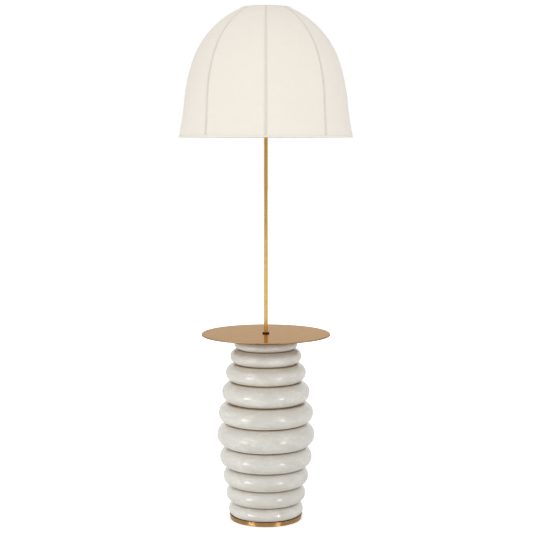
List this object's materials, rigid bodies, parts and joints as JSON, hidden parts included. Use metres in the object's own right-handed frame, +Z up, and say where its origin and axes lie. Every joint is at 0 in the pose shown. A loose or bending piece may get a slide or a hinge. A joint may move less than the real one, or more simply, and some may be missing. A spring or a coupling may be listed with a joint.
{
  "type": "floor lamp with tray table",
  "caption": "Floor lamp: stacked ceramic ring body on a brass foot, round brass tray table, slim brass pole and a gored fabric dome shade on a harp.",
  "frame": {"origin": "centre of the footprint, on the floor under the pole", "axes": "+Z up along the pole, -Y toward the viewer of the picture, +X to that viewer's right"},
  "size_m": [0.5757, 0.5758, 1.7068],
  "materials": {
    "felt": "needled wool felt, matte",
    "foot_brass": "aged brass, satin",
    "cast_iron": "as cast, black lacquer",
    "zinc_steel": "zinc plated",
    "turned_brass": "turned and lacquered",
    "black_nylon": "moulded, matte",
    "ivory_glaze": "glossy off-white glaze, brown where it thins at the seats",
    "tray_brass": "antique brass, satin, faintly mottled",
    "dark_bronze": "oil-rubbed bronze, satin",
    "pole_brass": "burnished brass, semi-gloss",
    "socket_brass": "bright dipped brass",
    "fibre_card": "fibre board",
    "black_phenolic": "moulded, semi-gloss",
    "aluminium": "drawn, bright",
    "opal_glass": "opal coated inside",
    "harp_brass": "brass plated wire",
    "frame_wire": "white powder coat",
    "shade_linen": "off-white linen weave with a white lining",
    "trim_tape": "woven tape"
  },
  "bodies": {
    "base": {"felt_pad": "felt", "foot": "foot_brass", "foot_weight": "cast_iron", "bottom_washer": "zinc_steel", "bottom_nut": "turned_brass", "cord_bushing": "black_nylon", "ring_01": "ivory_glaze", "ring_02": "ivory_glaze", "ring_03": "ivory_glaze", "ring_04": "ivory_glaze", "ring_05": "ivory_glaze", "ring_06": "ivory_glaze", "ring_07": "ivory_glaze", "ring_08": "ivory_glaze", "ring_09": "ivory_glaze", "ring_10": "ivory_glaze", "threaded_rod": "zinc_steel", "tray_spool": "cast_iron", "tray": "tray_brass", "pole_collar": "dark_bronze", "pole": "pole_brass", "neck_ring": "pole_brass", "neck_nipple": "zinc_steel", "harp_saddle": "zinc_steel", "socket_cap": "socket_brass", "socket_shell": "socket_brass", "socket_liner": "fibre_card", "socket_core": "black_phenolic", "screw_shell": "aluminium", "bulb_cap": "aluminium", "bulb_glass": "opal_glass", "harp_wire": "harp_brass", "harp_ferrules": "harp_brass", "harp_crown": "harp_brass"},
    "shade": {"finial": "turned_brass", "spider": "frame_wire", "top_hoop": "frame_wire", "hem_hoop": "frame_wire", "ribs": "frame_wire", "gore_1": "shade_linen", "gore_2": "shade_linen", "gore_3": "shade_linen", "gore_4": "shade_linen", "gore_5": "shade_linen", "gore_6": "shade_linen", "gore_7": "shade_linen", "gore_8": "shade_linen", "seam_tapes": "trim_tape", "top_trim": "trim_tape", "hem_trim": "trim_tape"},
    "switch": {"switch_shaft": "zinc_steel", "switch_knob": "black_phenolic"}
  },
  "joints": [
    {"name": "shade_turn", "type": "hinge", "parent": "base", "child": "shade", "pos_m": [0, 0, 1.6745], "axis": [0, 0, 1], "continuous": true},
    {"name": "switch_turn", "type": "hinge", "parent": "base", "child": "switch", "pos_m": [0, -0.02, 1.3887], "axis": [0, -1, 0], "continuous": true}
  ]
}
